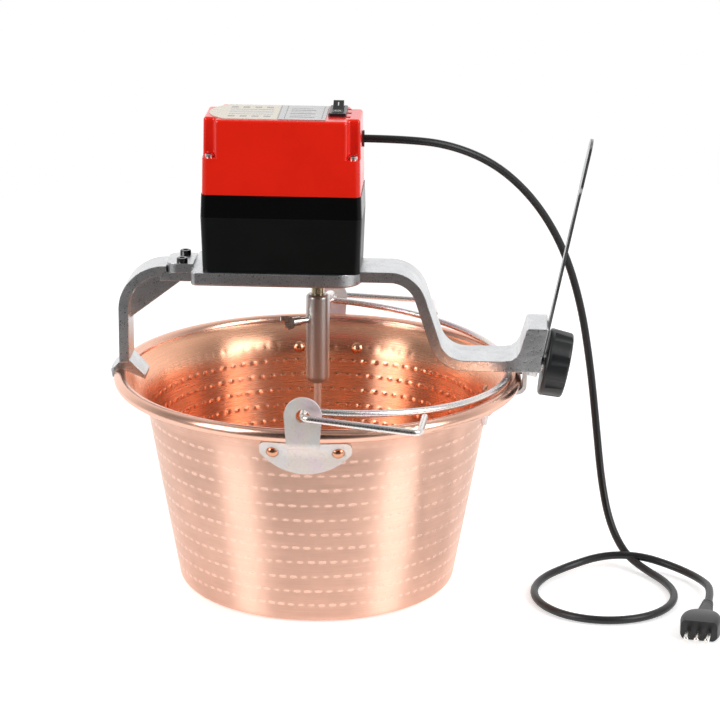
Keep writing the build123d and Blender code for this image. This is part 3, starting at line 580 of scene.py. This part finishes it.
def rocker_marks():
    turn = Matrix.Rotation(ROCKER_LEAN, 3, "X")
    verts, faces = [], []

    def patch(points):
        faces.append(tuple(range(len(verts), len(verts) + len(points))))
        for x, y in points:
            z = ROCKER_VALLEY + abs(y) * ROCKER_RISE
            verts.append(ROCKER_PIVOT + turn @ Vector((x, y, z + PROUD)))

    patch([(-0.0004, 0.0040), (0.0004, 0.0040), (0.0004, 0.0078), (-0.0004, 0.0078)])
    for k in range(RING_STEPS):
        a, b = 2 * pi * k / RING_STEPS, 2 * pi * (k + 1) / RING_STEPS
        corners = ((RING_OUTER, a), (RING_OUTER, b), (RING_INNER, b), (RING_INNER, a))
        patch([(rx * cos(t), RING_CENTRE + ry * sin(t)) for (rx, ry), t in corners])
    paint = moulded("white_mark_paint", (0.75, 0.75, 0.73), 0.4)
    new_mesh("rocker_marks", verts, faces, paint, "rocker")


rocker_marks()


# Studio: pale floor, two tall soft lights at the sides and white surroundings
CAMERA_LIFT = 0.46        # light added to the floor as the camera sees it
GLOSSY_LIFT = 0.38        # and as gloss mirrors it
FLOOR_R = 0.90
FLOOR_X = 0.10
FLOOR_Y = 0.50            # the floor ends close in front, so upright faces don't mirror it
FLOOR_Z = -0.0006
FLOOR_SIDES = 96
LEVEL_CAMERA_SIDE = 0.10  # strength of the surroundings behind the camera
LEVEL_SIDES = 0.66
LEVEL_BACK = 1.50
LEVEL_ABOVE = -0.30       # added overhead
LEVEL_LEFT = -0.20        # added at the left
LAMP_HEIGHT = 1.2
LAMP_DISTANCE = 1.9
LAMP_TALL = 1.8
LAMP_AIM = Vector((0, 0, 0.15))


def floor():
    """Pale disc whose unshaded part meets the white surroundings without an edge."""
    n = Nodes("stage_floor")
    path = n.add("LightPath")
    lift = n.math("ADD", n.math("MULTIPLY", path.outputs["Is Camera Ray"], CAMERA_LIFT),
                  n.math("MULTIPLY", path.outputs["Is Glossy Ray"], GLOSSY_LIFT))
    n.set(Base_Color=n.mix(n.noise(3.0), (0.90, 0.90, 0.90), (0.92, 0.92, 0.92)), Roughness=0.7,
          Specular_IOR_Level=0.2, Emission_Color=(1.0, 1.0, 1.0), Emission_Strength=lift)
    mesh = bpy.data.meshes.new("stage_floor")
    ring = []
    for k in range(FLOOR_SIDES):
        a = 2 * pi * k / FLOOR_SIDES
        ring.append((FLOOR_X + FLOOR_R * cos(a), FLOOR_Y + FLOOR_R * sin(a), FLOOR_Z))
    mesh.from_pydata(ring, [], [tuple(range(FLOOR_SIDES))])
    mesh.materials.append(n.mat)
    obj = bpy.data.objects.new("stage_floor", mesh)
    scene.collection.objects.link(obj)


def area_light(name, azimuth, width, power):
    """Soft light at a compass angle from the front, aimed at the object's middle."""
    a = radians(azimuth)
    data = bpy.data.lights.new(name, "AREA")
    data.shape = "RECTANGLE"
    data.size = width
    data.size_y = LAMP_TALL
    data.energy = power
    obj = bpy.data.objects.new(name, data)
    obj.location = (LAMP_DISTANCE * sin(a), -LAMP_DISTANCE * cos(a), LAMP_HEIGHT)
    aim = LAMP_AIM - obj.location
    obj.rotation_mode = "QUATERNION"
    obj.rotation_quaternion = aim.to_track_quat("-Z", "Y")
    scene.collection.objects.link(obj)


def surroundings():
    """White to the camera; to the object, dark where the camera stands and bright at the back."""
    world = bpy.data.worlds.new("studio")
    scene.world = world
    world.use_nodes = True
    tree = world.node_tree
    tree.nodes.clear()
    add = tree.nodes.new
    out = add("ShaderNodeOutputWorld")
    lit = add("ShaderNodeBackground")
    white = add("ShaderNodeBackground")
    mix = add("ShaderNodeMixShader")
    path = add("ShaderNodeLightPath")
    where = add("ShaderNodeTexCoord")
    split = add("ShaderNodeSeparateXYZ")
    white.inputs["Color"].default_value = (1, 1, 1, 1)
    white.inputs["Strength"].default_value = 1.0
    tree.links.new(where.outputs["Generated"], split.inputs[0])

    def span(axis, low, high, a, b):
        """Smooth change from a to b as the direction's x, y or z goes from low to high."""
        node = add("ShaderNodeMapRange")
        for key, value in (("From Min", low), ("From Max", high), ("To Min", a), ("To Max", b)):
            node.inputs[key].default_value = value
        node.interpolation_type = "SMOOTHSTEP"
        tree.links.new(split.outputs[axis], node.inputs["Value"])
        return node.outputs["Result"]

    def plus(a, b):
        node = add("ShaderNodeMath")
        tree.links.new(a, node.inputs[0])
        tree.links.new(b, node.inputs[1])
        return node.outputs[0]

    front = span("Y", -0.93, -0.45, LEVEL_CAMERA_SIDE, LEVEL_SIDES)
    back = span("Y", -0.1, 0.75, 0.0, LEVEL_BACK - LEVEL_SIDES)
    above = span("Z", 0.15, 0.75, 0.0, LEVEL_ABOVE)
    left = span("X", -0.95, -0.30, LEVEL_LEFT, 0.0)
    tree.links.new(plus(plus(front, back), plus(above, left)), lit.inputs["Strength"])
    tree.links.new(path.outputs["Is Camera Ray"], mix.inputs[0])
    tree.links.new(lit.outputs[0], mix.inputs[1])
    tree.links.new(white.outputs[0], mix.inputs[2])
    tree.links.new(mix.outputs[0], out.inputs["Surface"])


floor()
area_light("soft_left", -52, 0.94, 25)
area_light("soft_right", 62, 0.96, 27)
surroundings()
scene.view_settings.view_transform = "Standard"
scene.view_settings.look = "None"
